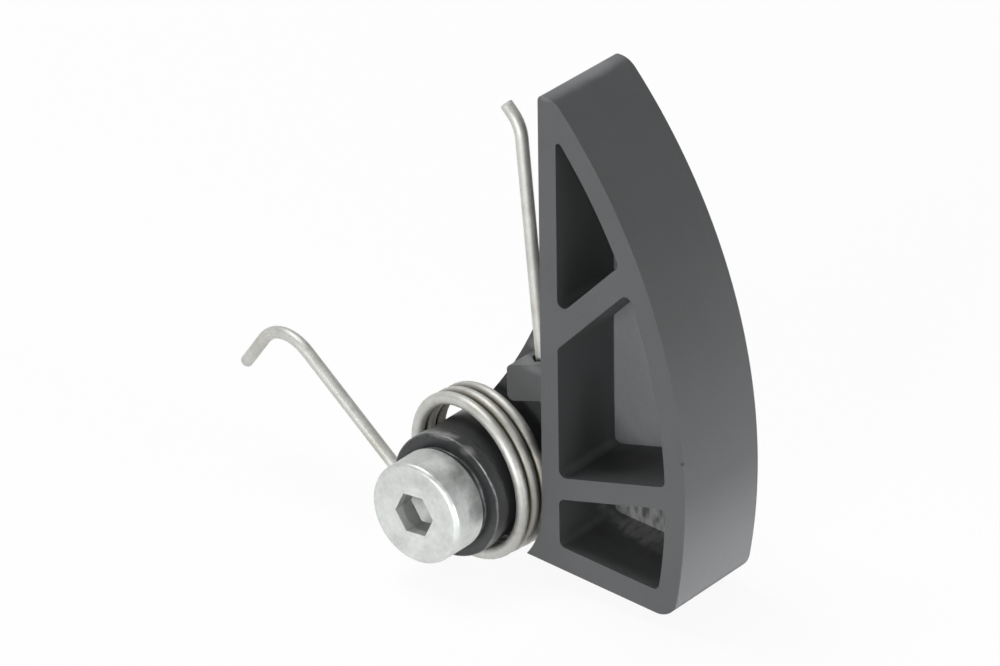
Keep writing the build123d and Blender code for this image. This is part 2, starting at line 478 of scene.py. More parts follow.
def make_lug():
    """The slotted lug that holds the spring's rear leg."""
    hidden_rounding, sunk = 0.1, 0.5
    left, inside = RECESS_RADIUS - LUG_REACH, RECESS_RADIUS + OVERLAP
    sides = [
        (straight(left, 0, 90), None, LUG_ROUNDING),
        (straight(RECESS_RADIUS, LUG_TOP, LUG_SLOPE), None, hidden_rounding),
        (straight(inside, 0, -90), None, hidden_rounding),
        (straight(RECESS_RADIUS, LUG_TOP - LUG_HEIGHT, 180 + LUG_SLOPE), None, LUG_ROUNDING),
    ]
    lug = draw_rounded(sides, LUG_FRONT, ARM_FRONT + sunk)
    slot_left, slot_front = RECESS_RADIUS - SLOT_WIDTH, LUG_FRONT + LUG_WALL
    slot = begin_outline(slot_left, 0, slot_front)
    line_to(slot, slot_left, 2 * LUG_TOP)
    line_to(slot, RECESS_RADIUS, 2 * LUG_TOP)
    line_to(slot, RECESS_RADIUS, 0)
    finish_outline(slot, ARM_FRONT)
    open_piece(slot, "EDGE")
    corner = Vector((slot_left, slot_front)) * MM
    pick(
        slot,
        lambda e: all((Vector(v.co.xy) - corner).length < TOUCHING for v in e.verts),
        "edges",
    )
    bpy.ops.mesh.bevel(offset=SLOT_SLANT * MM, segments=1, affect="EDGES")
    close_piece(slot)
    return carve(lug, slot)


def make_shoe():
    """The whole moulding, in one piece."""
    shoe = make_block()
    for pocket in make_pockets():
        carve(shoe, pocket)
    carve(shoe, make_arm(), "UNION")
    carve(shoe, cylinder(BOSS_RADIUS, BOSS_FRONT, SHOE_BACK), "UNION")
    carve(shoe, make_lug(), "UNION")
    carve(shoe, cylinder(BORE_RADIUS, BOSS_FRONT - CUT_PAST, SHOE_BACK + CUT_PAST))
    close_piece(shoe, "moulded_shoe")
    return soften(shoe, width=0.16)


# The bolt and the collar

HEAD_RADIUS = 6.5
HEAD_RIM = 0.6
SHANK_RADIUS = 3.6
THREAD_CREST = 4.0
THREAD_ROOT = 3.35
THREAD_PITCH = 1.25
THREAD_START = 0.0
THREAD_STEPS = 48
TIP_CHAMFER = 0.8
SOCKET_HALF = 2.5
SOCKET_DEPTH = 3.0
SOCKET_CONE = 0.8
SOCKET_POINT = 0.15
SOCKET_TURN = 26.3


def make_collar():
    """The flanged bush on which the shoe swings."""
    bore, sleeve, lip, flange = 4.2, 6.0, 6.1, 8.0
    piece = turned(
        [
            (bore, HEAD_BACK),
            (lip, HEAD_BACK),
            (lip, FLANGE_FRONT),
            (flange, FLANGE_FRONT),
            (flange, FLANGE_BACK),
            (sleeve, FLANGE_BACK),
            (sleeve, 0.0),
            (bore, 0.0),
            (bore, HEAD_BACK),
        ],
        ROUND_SIDES,
    )
    close_turned(piece, True)
    close_piece(piece, "flanged_collar")
    return soften(piece, width=0.25)


def make_thread(start, end):
    """A screw thread's solid between two places, made by screwing one tooth's outline."""
    spare = 0.5
    land = THREAD_PITCH / 8
    flank = (THREAD_PITCH - 2 * land) / 2
    below = start - 2 * THREAD_PITCH
    piece = begin_outline(THREAD_ROOT, 0, below)
    line_to(piece, THREAD_CREST, 0, below + flank)
    line_to(piece, THREAD_CREST, 0, below + flank + land)
    line_to(piece, THREAD_ROOT, 0, below + 2 * flank + land)
    line_to(piece, THREAD_ROOT, 0, below + THREAD_PITCH)
    close_piece(piece)
    screw = piece.modifiers.new("screw", "SCREW")
    screw.axis = "Y"
    screw.angle = 2 * math.pi
    screw.steps = screw.render_steps = THREAD_STEPS
    screw.iterations = math.ceil((end - start) / THREAD_PITCH) + 4
    screw.screw_offset = THREAD_PITCH * MM
    screw.use_merge_vertices = True
    screw.merge_threshold = TOUCHING
    bpy.ops.object.modifier_apply(modifier=screw.name)
    tidy_mesh(piece, 2 * TOUCHING)
    open_piece(piece)
    for place, way in ((start - spare, -1), (end + spare, 1)):
        bpy.ops.mesh.select_all(action="SELECT")
        bpy.ops.mesh.bisect(
            plane_co=(0, place * MM, 0),
            plane_no=(0, way, 0),
            use_fill=True,
            clear_outer=True,
            clear_inner=False,
            threshold=TOUCHING / 10,
        )
    close_piece(piece)
    return tidy_mesh(piece)


def make_socket():
    """The hexagon that is sunk into the head, with a shallow drilled point at its floor."""
    across = SOCKET_HALF / math.cos(math.pi / 6)
    socket = cylinder(across, HEAD_FRONT - CUT_PAST, HEAD_FRONT + SOCKET_DEPTH, sides=6)
    open_piece(socket)
    pick(socket, lambda f: f.normal.y > 0.9)
    bpy.ops.mesh.extrude_region_move(TRANSFORM_OT_translate={"value": (0, SOCKET_CONE * MM, 0)})
    bpy.ops.transform.resize(value=(SOCKET_POINT, 1, SOCKET_POINT), center_override=(0, 0, 0))
    close_piece(socket)
    socket.rotation_euler = (0, math.radians(SOCKET_TURN), 0)
    return close_piece(socket)


def make_bolt():
    """Low-head bolt with a hexagon socket and a real thread."""
    inside_thread, lead, behind = 1.0, 0.6, 0.2
    body = turned(
        [
            (HEAD_RADIUS, HEAD_FRONT),
            (HEAD_RADIUS, HEAD_BACK),
            (SHANK_RADIUS, HEAD_BACK),
            (SHANK_RADIUS, THREAD_START + inside_thread),
        ],
        ROUND_SIDES,
    )
    close_turned(body, False)
    open_piece(body, "EDGE")
    pick(body, lambda e: all(abs(v.co.y - HEAD_FRONT * MM) < TOUCHING for v in e.verts), "edges")
    bpy.ops.mesh.bevel(offset=HEAD_RIM * MM, segments=5, affect="EDGES")
    close_piece(body)
    carve(body, make_socket())
    thread = make_thread(THREAD_START, BOLT_TIP)
    envelope = turned(
        [
            (SHANK_RADIUS - 2 * behind, THREAD_START - behind),
            (THREAD_CREST, THREAD_START + lead),
            (THREAD_CREST, BOLT_TIP - TIP_CHAMFER),
            (THREAD_CREST - TIP_CHAMFER, BOLT_TIP),
        ]
    )
    close_turned(envelope, False)
    carve(thread, envelope, "INTERSECT")
    carve(body, thread, "UNION")
    close_piece(body, "socket_bolt")
    return soften(body, width=0.12, segments=2, sharper_than=50.0)


# The torsion spring

WIRE_RADIUS = 0.8
WIRE_SIDES = 20
COIL_RADIUS = 9.9
COIL_PITCH = 1.7
COIL_CENTRE = (-0.5, -14.29, 0.38)
COIL_AXIS = (0.173, 1.0, 0.053)
FRONT_ANGLE = -125.3
REAR_ANGLE = 4.7
WHOLE_TURNS = 3
TURN_STEP = 7.5
FRONT_TIP = 6.1
FRONT_BEND = 6.0
FRONT_HOOK = 86.0
FRONT_LEG = 26.45
REAR_LEG = 44.9
REAR_BEND = 4.0
REAR_HOOK = 47.0
REAR_TIP = 1.3
LEAN = COIL_PITCH / (2 * math.pi * COIL_RADIUS)

# Steps drawn in the front leg's tip, hook and length, and in the rear leg's length, hook and tip
FRONT_PIECES = (5, 14, 14)
REAR_PIECES = (20, 9, 2)


def coil_frame():
    """Turns the upright coil to the askew place that it takes on the boss."""
    axis = Vector(COIL_AXIS).normalized()
    right = Vector((axis.y, -axis.x, 0)).normalized()
    up = right.cross(axis)
    turn = Matrix((right, axis, up)).transposed().to_4x4()
    return Matrix.Translation(Vector(COIL_CENTRE) * MM) @ turn


def ahead(place, heading, length, leg=None):
    """The place a length further on. On a leg, the wire leans back as it does in the coil."""
    way = math.radians(heading)
    x = place[0] + math.cos(way) * length
    z = place[2] + math.sin(way) * length
    if leg is None:
        return (x, place[1], z)
    start, heading = leg
    way = math.radians(heading)
    along = (x - start[0]) * math.cos(way) + (z - start[2]) * math.sin(way)
    return (x, start[1] + LEAN * along, z)


def draw_straight(place, heading, length, pieces, leg):
    """Draws the wire straight on and gives its new place."""
    for _ in range(pieces):
        there = ahead(place, heading, length / pieces, leg)
        step = [(b - a) * MM for a, b in zip(place, there)]
        bpy.ops.mesh.extrude_edges_move(TRANSFORM_OT_translate={"value": step})
        place = there
    return place


def draw_bend(place, heading, radius, degrees, pieces, leg=None, rise=0.0):
    """Bends the wire, anticlockwise for positive degrees, and gives its place and heading."""
    side = math.copysign(90.0, degrees)
    centre = ahead(place, heading + side, radius)
    for _ in range(pieces):
        heading += degrees / pieces
        there = ahead(centre, heading - side, radius, leg)
        lift = there[1] - place[1] if leg else rise / pieces
        bpy.ops.mesh.extrude_edges_move(TRANSFORM_OT_translate={"value": (0, lift * MM, 0)})
        bpy.ops.transform.rotate(
            value=math.radians(degrees / pieces),
            orient_axis="Y",
            orient_type="GLOBAL",
            center_override=[c * MM for c in centre],
        )
        place = (there[0], place[1] + lift, there[2])
    return place, heading


def on_coil(degrees):
    """A place on the upright coil's centre line."""
    way = math.radians(degrees)
    rise = COIL_PITCH * degrees / 360
    return (COIL_RADIUS * math.cos(way), rise, COIL_RADIUS * math.sin(way))


def make_spring():
    """The torsion spring, drawn ring by ring from the front leg's tip to the rear leg's."""
    inward = FRONT_ANGLE + 90
    front = (on_coil(FRONT_ANGLE), inward)
    hook_heading = inward + FRONT_HOOK
    hook_end = ahead(front[0], inward + 180, FRONT_LEG)
    hook_centre = ahead(hook_end, inward - 90, FRONT_BEND)
    hook_start = ahead(hook_centre, hook_heading + 90, FRONT_BEND, front)
    tip = ahead(hook_start, hook_heading + 180, FRONT_TIP, front)
    bpy.ops.object.select_all(action="DESELECT")
    bpy.ops.mesh.primitive_circle_add(
        vertices=WIRE_SIDES,
        radius=WIRE_RADIUS * MM,
        location=[p * MM for p in tip],
        rotation=(0, math.radians(90 - hook_heading), 0),
    )
    piece = close_piece(bpy.context.object)
    open_piece(piece, "EDGE")
    bpy.ops.mesh.select_all(action="SELECT")
    in_tip, in_hook, in_leg = FRONT_PIECES
    place = draw_straight(tip, hook_heading, FRONT_TIP, in_tip, front)
    place, heading = draw_bend(place, hook_heading, FRONT_BEND, -FRONT_HOOK, in_hook, front)
    place = draw_straight(place, heading, FRONT_LEG, in_leg, front)
    turn = WHOLE_TURNS * 360 + REAR_ANGLE - FRONT_ANGLE
    in_coil, rise = round(turn / TURN_STEP), COIL_PITCH * turn / 360
    place, heading = draw_bend(place, heading, COIL_RADIUS, turn, in_coil, rise=rise)
    rear = (place, heading)
    in_leg, in_hook, in_tip = REAR_PIECES
    place = draw_straight(place, heading, REAR_LEG, in_leg, rear)
    place, heading = draw_bend(place, heading, REAR_BEND, REAR_HOOK, in_hook, rear)
    draw_straight(place, heading, REAR_TIP, in_tip, rear)
    bpy.ops.object.mode_set(mode="OBJECT")
    map_wire(piece)
    open_piece(piece, "EDGE")
    bpy.ops.mesh.select_non_manifold(extend=False)
    bpy.ops.mesh.fill()
    face_outwards()
    bpy.ops.object.mode_set(mode="OBJECT")
    piece.matrix_world = coil_frame()
    close_piece(piece, "torsion_wire")
    return soften(piece, width=0.14, sharper_than=50.0)


def map_wire(piece):
    """Gives the wire a map: once round it across, and its length in centimetres along."""
    layer = piece.data.uv_layers.new(name="wire")
    places = [v.co.copy() for v in piece.data.vertices]
    rings = [places[i : i + WIRE_SIDES] for i in range(0, len(places), WIRE_SIDES)]
    middles = [sum(ring, Vector()) / WIRE_SIDES for ring in rings]
    run = [0.0]
    for before, after in zip(middles, middles[1:]):
        run.append(run[-1] + (after - before).length * 100)
    for face in piece.data.polygons:
        corners = [(i, piece.data.loops[i].vertex_index) for i in face.loop_indices]
        sides = [vertex % WIRE_SIDES for _, vertex in corners]
        wraps = max(sides) - min(sides) > WIRE_SIDES / 2
        for (corner, vertex), side in zip(corners, sides):
            across = side + WIRE_SIDES if wraps and side < WIRE_SIDES / 2 else side
            layer.data[corner].uv = (across / WIRE_SIDES, run[vertex // WIRE_SIDES])


# Shader building

def feed(tree, value, socket):
    """Gives a socket a link or a plain value."""
    if isinstance(value, bpy.types.NodeSocket):
        tree.links.new(value, socket)
    else:
        socket.default_value = value


def add(tree, kind, *values, **settings):
    """Adds a shader node with its settings and feeds its first sockets in turn."""
    made = tree.nodes.new("ShaderNode" + kind)
    for key, value in settings.items():
        setattr(made, key, value)
    for value, socket in zip(values, made.inputs):
        feed(tree, value, socket)
    return made


def calc(tree, operation, *values):
    """One step of arithmetic."""
    return add(tree, "Math", *values, operation=operation).outputs[0]


def vector_calc(tree, operation, *values):
    """One step of arithmetic on vectors."""
    return add(tree, "VectorMath", *values, operation=operation).outputs


def stretch(tree, value, low, high, to_low=0.0, to_high=1.0):
    """Maps one range on to another and stays within it."""
    return add(tree, "MapRange", value, low, high, to_low, to_high).outputs[0]


def split(tree, vector):
    """The X, Y and Z of a vector."""
    return add(tree, "SeparateXYZ", vector).outputs


def combine(tree, *values):
    """A vector from its X, Y and Z, the last of which may be left out."""
    return add(tree, "CombineXYZ", *values).outputs[0]


def mix(tree, share, first, second):
    """Blends two colours."""
    made = add(tree, "Mix", share, data_type="RGBA")
    feed(tree, first, made.inputs[6])
    feed(tree, second, made.inputs[7])
    return made.outputs[2]


def noise(tree, vector, scale, detail=2.0, roughness=0.5):
    """A soft random pattern from 0 to 1."""
    made = add(tree, "TexNoise", vector)
    feed(tree, scale, made.inputs["Scale"])
    made.inputs["Detail"].default_value = detail
    made.inputs["Roughness"].default_value = roughness
    return made.outputs[0]


def object_place(tree):
    """The place on the piece, measured from the pivot."""
    return add(tree, "TexCoord").outputs["Object"]


def span(tree, x, z):
    """The distance that two sides at right angles span."""
    squares = [calc(tree, "POWER", side, 2.0) for side in (x, z)]
    return calc(tree, "SQRT", calc(tree, "ADD", *squares))


def scaled(tree, colour, factor):
    """A colour made lighter or darker."""
    made = add(tree, "VectorMath", colour, operation="SCALE")
    feed(tree, factor, made.inputs["Scale"])
    return made.outputs[0]


def toned(tree, mask, tone, factor):
    """A colour that is lighter or darker where a mask says so."""
    return mix(tree, mask, tone, scaled(tree, tone, factor))


def new_effect(name, inputs, outputs):
    """Starts a shared effect and gives its tree, its inputs and its outputs."""
    tree = bpy.data.node_groups.new(name, "ShaderNodeTree")
    kinds = {float: "NodeSocketFloat", tuple: "NodeSocketColor", Vector: "NodeSocketVector"}
    for label, value in inputs.items():
        kind = kinds[type(value)]
        socket = tree.interface.new_socket(label, in_out="INPUT", socket_type=kind)
        socket.default_value = value
    for label, kind in outputs.items():
        tree.interface.new_socket(label, in_out="OUTPUT", socket_type=kinds[kind])
    entry = tree.nodes.new("NodeGroupInput").outputs
    leave = tree.nodes.new("NodeGroupOutput").inputs
    return tree, entry, leave


def grey(level):
    """A neutral colour."""
    return (level, level, level, 1.0)


def vary_colour(tree, entry, leave, pattern, low, high):
    """Makes the colour lighter and darker with a pattern, and gives the level from -1 to 1."""
    level = stretch(tree, pattern, low, high, -1.0, 1.0)
    tone = calc(tree, "MULTIPLY_ADD", level, entry["Colour Change"], 1.0)
    feed(tree, scaled(tree, entry["Colour"], tone), leave["Colour"])
    return level


# Shared effects

def make_grain_effect():
    """Fine grain over broad clouds, which moves colour, roughness and height a little."""
    tree, entry, leave = new_effect(
        "grain_and_clouds",
        {
            "Colour": grey(0.5),
            "Roughness": 0.5,
            "Fine Scale": 2500.0,
            "Cloud Scale": 160.0,
            "Colour Change": 0.1,
            "Roughness Change": 0.1,
        },
        {"Colour": tuple, "Roughness": float, "Height": float},
    )
    fine_share, cloud_share = 0.4, 0.6
    place = object_place(tree)
    fine = noise(tree, place, entry["Fine Scale"], detail=3.0)
    clouds = noise(tree, place, entry["Cloud Scale"], detail=6.0, roughness=0.6)
    fine_part = calc(tree, "MULTIPLY", fine, fine_share)
    cloud_part = calc(tree, "MULTIPLY", clouds, cloud_share)
    both = calc(tree, "ADD", fine_part, cloud_part)
    level = vary_colour(tree, entry, leave, both, 0.35, 0.65)
    rough = calc(tree, "MULTIPLY_ADD", level, entry["Roughness Change"], entry["Roughness"])
    feed(tree, rough, leave["Roughness"])
    feed(tree, fine, leave["Height"])
    return tree


def make_wear_effect():
    """Rubs the outer edges, broken up by a random pattern."""
    tree, entry, leave = new_effect(
        "rubbed_edges",
        {
            "Colour": grey(0.5),
            "Rubbed Colour": grey(0.6),
            "Roughness": 0.5,
            "Rubbed Roughness": 0.4,
            "Edge Start": 0.2,
            "Edge Full": 0.9,
            "Patch Scale": 700.0,
        },
        {"Colour": tuple, "Roughness": float},
    )
    place = object_place(tree)
    edge = add(tree, "Attribute", attribute_name="rounding").outputs["Fac"]
    sharp = stretch(tree, edge, entry["Edge Start"], entry["Edge Full"])
    pattern = noise(tree, place, entry["Patch Scale"], detail=5.0, roughness=0.65)
    patches = stretch(tree, pattern, 0.38, 0.62)
    wear = calc(tree, "MULTIPLY", sharp, patches)
    feed(tree, mix(tree, wear, entry["Colour"], entry["Rubbed Colour"]), leave["Colour"])
    change = calc(tree, "SUBTRACT", entry["Rubbed Roughness"], entry["Roughness"])
    feed(tree, calc(tree, "MULTIPLY_ADD", wear, change, entry["Roughness"]), leave["Roughness"])
    return tree


def make_turning_effect():
    """Fine tool rings round the pivot axis."""
    tree, entry, leave = new_effect(
        "turning_rings",
        {"Ring Scale": 3000.0, "Colour": grey(0.5), "Colour Change": 0.05},
        {"Colour": tuple, "Height": float},
    )
    x, y, z = split(tree, object_place(tree))
    rings = combine(tree, span(tree, x, z), y)
    lines = noise(tree, rings, entry["Ring Scale"])
    vary_colour(tree, entry, leave, lines, 0.35, 0.65)
    feed(tree, lines, leave["Height"])
    return tree


def make_drawing_effect():
    """Fine lines along a drawn wire, on the wire's own map."""
    tree, entry, leave = new_effect(
        "drawing_lines",
        {"Colour": grey(0.5), "Colour Change": 0.08, "Lines Around": 60.0, "Lines Along": 0.6},
        {"Colour": tuple, "Height": float},
    )
    around, along, _ = split(tree, add(tree, "UVMap", uv_map="wire").outputs[0])
    turn = calc(tree, "MULTIPLY", around, 2 * math.pi)
    width = calc(tree, "DIVIDE", entry["Lines Around"], 2 * math.pi)
    round_wire = combine(
        tree,
        calc(tree, "MULTIPLY", calc(tree, "COSINE", turn), width),
        calc(tree, "MULTIPLY", calc(tree, "SINE", turn), width),
        calc(tree, "MULTIPLY", along, entry["Lines Along"]),
    )
    lines = noise(tree, round_wire, scale=1.0, detail=3.0, roughness=0.6)
    vary_colour(tree, entry, leave, lines, 0.3, 0.7)
    feed(tree, lines, leave["Height"])
    return tree


def make_patch_effect():
    """A soft-edged patch about a place, its edge broken up by a random pattern."""
    tree, entry, leave = new_effect(
        "soft_patch",
        {
            "Centre": Vector((0.0, 0.0, 0.0)),
            "Reach": Vector((0.01, 0.01, 0.01)),
            "Softness": 0.3,
            "Break Up": 0.0,
            "Break Up Scale": 300.0,
        },
        {"Mask": float},
    )
    place = object_place(tree)
    off = vector_calc(tree, "SUBTRACT", place, entry["Centre"])["Vector"]
    share = vector_calc(tree, "DIVIDE", off, entry["Reach"])["Vector"]
    length = vector_calc(tree, "LENGTH", share)["Value"]
    pattern = noise(tree, place, entry["Break Up Scale"], detail=4.0)
    loose = stretch(tree, pattern, 0.3, 0.7, -1.0, 1.0)
    ragged = calc(tree, "MULTIPLY_ADD", loose, entry["Break Up"], length)
    inner = calc(tree, "SUBTRACT", 1.0, entry["Softness"])
    feed(tree, stretch(tree, ragged, 1.0, inner), leave["Mask"])
    return tree


GRAIN = make_grain_effect()
WEAR = make_wear_effect()
TURNING = make_turning_effect()
DRAWING = make_drawing_effect()
PATCH = make_patch_effect()


def use(tree, effect, **values):
    """Puts a shared effect in a material; an underscore in a name stands for a space."""
    made = add(tree, "Group", node_tree=effect)
    for key, value in values.items():
        feed(tree, value, made.inputs[key.replace("_", " ")])
    return made.outputs


def new_material(name, colour, **constants):
    """Starts a material; the constants are the shader's own plain values."""
    material = bpy.data.materials.new(name)
    material.use_nodes = True
    material.diffuse_color = colour
    tree = material.node_tree
    shader = tree.nodes["Principled BSDF"]
    for key, value in constants.items():
        shader.inputs[key.replace("_", " ")].default_value = value
    return material, tree, shader


def finish_shader(tree, shader, colour, roughness, height, depth, strength):
    """Gives the shader its colour, its roughness and a relief of some millimetres' depth."""
    feed(tree, colour, shader.inputs["Base Color"])
    feed(tree, roughness, shader.inputs["Roughness"])
    bump = add(tree, "Bump")
    bump.inputs["Strength"].default_value = strength
    bump.inputs["Distance"].default_value = depth * MM
    feed(tree, height, bump.inputs["Height"])
    feed(tree, bump.outputs["Normal"], shader.inputs["Normal"])


def rub_edges(tree, colour, grain, rubbed_colour, rubbed_roughness):
    """Puts the shared wear on a grainy surface."""
    return use(
        tree,
        WEAR,
        Colour=colour,
        Rubbed_Colour=rubbed_colour,
        Roughness=grain["Roughness"],
        Rubbed_Roughness=rubbed_roughness,
    )


# Materials

# Marks of use, painted light and painted shade: centre and reach in millimetres, then softness,
# raggedness and its scale
MARKS = {
    # Painted shade on the front of the arm, lug and boss
    "oil_spread": ((0, -9, 0), (24, 60, 24), 0.45, 0.05, 300),
    "oiled_boss": ((0, -16, 0), (9.5, 60, 9.5), 0.1, 0, 300),
    # Painted light on the middle pocket's floor
    "pale_floor": ((19.5, -3.4, 18), (11, 0.7, 16), 0.2, 0, 300),
    # The lower pocket's darker floor, and the area of its lighter streaks
    "wet_floor": ((20.5, -6.5, 0), (9.5, 5.3, 8.5), 0.4, 0.2, 500),
    "dried_floor": ((20.8, -5, -1.8), (8.2, 4.6, 5), 0.3, 0.15, 500),
    # Painted shade on the middle pocket's walls
    "dim_walls": ((18.5, -8.3, 9), (7, 4.6, 12), 0.4, 0, 300),
    # Painted highlight along the rounding between the top and the chain face
    "rubbed_top": ((12.4, -7.3, 54.6), (1.7, 12, 1), 0.7, 0.1, 300),
    # Painted light on the lug's top
    "dusty_lug": ((9.2, -9, 18.1), (4.5, 6, 1.6), 0.3, 0.15, 300),
    "nick": ((32.1, -14.6, 12.6), (0.5, 0.4, 0.35), 0.5, 0.3, 300),
    # Painted shade in the bolt's socket
    "socket": ((0, -22.9, 0), (3.3, 2.25, 3.3), 0.1, 0, 300),
    # Painted dark reflection on the side of the bolt head
    "dull_head": ((5.4, -20.4, 2.8), (5.5, 2.6, 6), 0.9, 0.3, 420),
    # Painted reflections on the flange's rim
    "flange_scuff": ((-0.7, -18.7, 8), (3.6, 1, 0.8), 1, 0.35, 500),
    "flange_smear": ((3.6, -18.9, 7.1), (1.9, 0.8, 1.2), 1, 0.3, 500),
    # Painted shade on the coil's right side
    "dull_coil": ((9.5, -14, -1), (6, 7, 10), 0.8, 0.2, 300),
    # Painted shade on the rear leg below the lug
    "grimy_leg": ((10.5, -10, 9.5), (4, 8, 4.8), 0.3, 0.1, 300),
}
MOULDING_COLOUR = (0.073, 0.075, 0.077, 1.0)
RUBBED_MOULDING = (0.15, 0.153, 0.158, 1.0)
# Colour of the lighter streaks on the lower pocket's floor
DRIED_OIL = (0.2, 0.203, 0.2, 1.0)
STREAK_STRETCH = (1.0, 0.3, 0.35)
STREAK_SCALE = 900.0
PLATED_COLOUR = (0.575, 0.592, 0.575, 1.0)
RUBBED_PLATING = (0.48, 0.49, 0.475, 1.0)
BLACKENED_COLOUR = (0.04, 0.041, 0.043, 1.0)
RUBBED_BLACKENING = (0.16, 0.16, 0.16, 1.0)
# Colour of the painted reflections on the flange's rim
SCUFF_COLOUR = (0.26, 0.26, 0.255, 1.0)
WIRE_COLOUR = (0.53, 0.53, 0.508, 1.0)
RUBBED_WIRE = (0.56, 0.56, 0.53, 1.0)
TARNISH_COLOUR = (0.37, 0.355, 0.295, 1.0)
# Colour of the painted shade between the coil's turns
DIRT_COLOUR = (0.19, 0.177, 0.135, 1.0)


def mark(tree, name):
    """The soft-edged mask of a mark of use."""
    centre, reach, softness, ragged, scale = MARKS[name]
    patch = use(
        tree,
        PATCH,
        Centre=Vector(centre) * MM,
        Reach=Vector(reach) * MM,
        Softness=softness,
        Break_Up=ragged,
        Break_Up_Scale=scale,
    )
    return patch["Mask"]


def marked(tree, tone, **factors):
    """A colour that each named mark makes lighter or darker by a factor."""
    for name, factor in factors.items():
        tone = toned(tree, mark(tree, name), tone, factor)
    return tone


def oiled_places(tree, x, y):
    """The front of the boss, arm and lug, darkened by painted shade that spreads out from the
    pivot.
    """
    spread = mark(tree, "oil_spread")
    beside_wall = stretch(tree, x, 12.5 * MM, 11.3 * MM)
    behind_front = stretch(tree, y, -14.6 * MM, -14.3 * MM)
    arm = calc(tree, "MULTIPLY", calc(tree, "MULTIPLY", spread, beside_wall), behind_front)
    outer = stretch(tree, y, -3 * MM, -8 * MM)
    both = calc(tree, "MAXIMUM", arm, mark(tree, "oiled_boss"))
    return calc(tree, "MULTIPLY", both, outer)


def chain_worn_places(tree, x, z):
    """The chain face alone, with painted light that grows towards its lower end."""
    off_x = calc(tree, "SUBTRACT", x, CHAIN_CENTRE[0] * MM)
    off_z = calc(tree, "SUBTRACT", z, CHAIN_CENTRE[1] * MM)
    inner, outer = (CHAIN_RADIUS - 0.2) * MM, (CHAIN_RADIUS - 0.05) * MM
    skin = stretch(tree, span(tree, off_x, off_z), inner, outer)
    return calc(tree, "MULTIPLY", skin, stretch(tree, z, 8 * MM, -11 * MM))


def wet_streaks(tree, colour):
    """The lower pocket's floor, darker and with lighter streaks on it."""
    drawn_out = add(tree, "Mapping", object_place(tree))
    drawn_out.inputs["Scale"].default_value = STREAK_STRETCH
    pattern = noise(tree, drawn_out.outputs[0], STREAK_SCALE, detail=3.0, roughness=0.6)
    streaks = stretch(tree, pattern, 0.38, 0.58)
    oiled = marked(tree, colour, wet_floor=0.72)
    dried = calc(tree, "MULTIPLY", mark(tree, "dried_floor"), streaks)
    return mix(tree, dried, oiled, DRIED_OIL)


def make_moulding_material():
    """Black glass-filled moulding, matt, with lightly rubbed edges, a nick, a darker streaked
    lower pocket floor, and painted light and painted shade.
    """
    material, tree, shader = new_material(
        "black_moulding", MOULDING_COLOUR, Specular_IOR_Level=0.45
    )
    x, y, z = split(tree, object_place(tree))
    grain = use(
        tree, GRAIN, Colour=MOULDING_COLOUR, Roughness=0.5, Fine_Scale=2600.0,
        Cloud_Scale=90.0, Colour_Change=0.1, Roughness_Change=0.06,
    )
    wear = rub_edges(tree, grain["Colour"], grain, RUBBED_MOULDING, rubbed_roughness=0.4)
    # Painted shade on the front of the arm, boss and lug, where the roughness is lowered too
    oiled = oiled_places(tree, x, y)
    tone = toned(tree, oiled, wear["Colour"], 0.45)
    # Painted light on the chain face, growing towards its lower end
    tone = toned(tree, chain_worn_places(tree, x, z), tone, 2.5)
    # Painted light on the middle pocket's floor; the lower pocket's floor is darker, with lighter
    # streaks
    tone = wet_streaks(tree, marked(tree, tone, pale_floor=2.1))
    # Painted shade on the middle pocket's walls, a painted highlight along the top's rounding,
    # painted light on the lug's top, and a nick
    tone = marked(tree, tone, dim_walls=0.6, rubbed_top=2.4, dusty_lug=2.1, nick=0.3)
    rough = calc(tree, "MULTIPLY_ADD", oiled, -0.15, wear["Roughness"])
    finish_shader(tree, shader, tone, rough, grain["Height"], depth=0.03, strength=0.35)
    return material


def make_bolt_material():
    """Bright plated steel with faint mottling and tool rings, painted shade in the socket and a
    painted dark reflection on the head's side.
    """
    material, tree, shader = new_material("plated_steel", PLATED_COLOUR, Metallic=0.7)
    rings = use(tree, TURNING, Colour=PLATED_COLOUR, Colour_Change=0.03)
    grain = use(
        tree, GRAIN, Colour=rings["Colour"], Roughness=0.5, Fine_Scale=1500.0,
        Cloud_Scale=420.0, Colour_Change=0.13, Roughness_Change=0.1,
    )
    wear = rub_edges(tree, grain["Colour"], grain, RUBBED_PLATING, rubbed_roughness=0.62)
    # Painted shade in the socket and a painted dark reflection on the head's side
    tone = marked(tree, wear["Colour"], socket=0.65, dull_head=0.4)
    finish_shader(
        tree, shader, tone, wear["Roughness"], grain["Height"], depth=0.02, strength=0.3
    )
    return material


def make_collar_material():
    """Smooth blackened steel with painted reflections on the flange's rim."""
    material, tree, shader = new_material("blackened_steel", BLACKENED_COLOUR, Metallic=0.4)
    rings = use(tree, TURNING, Colour=BLACKENED_COLOUR, Colour_Change=0.12)
    grain = use(
        tree, GRAIN, Colour=rings["Colour"], Roughness=0.34, Fine_Scale=2000.0,
        Cloud_Scale=300.0, Colour_Change=0.15, Roughness_Change=0.07,
    )
    wear = rub_edges(tree, grain["Colour"], grain, RUBBED_BLACKENING, rubbed_roughness=0.35)
    # Painted reflections on the flange's rim
    scuffed = calc(tree, "MAXIMUM", mark(tree, "flange_scuff"), mark(tree, "flange_smear"))
    tone = mix(tree, scuffed, wear["Colour"], SCUFF_COLOUR)
    finish_shader(
        tree, shader, tone, wear["Roughness"], rings["Height"], depth=0.01, strength=0.2
    )
    return material


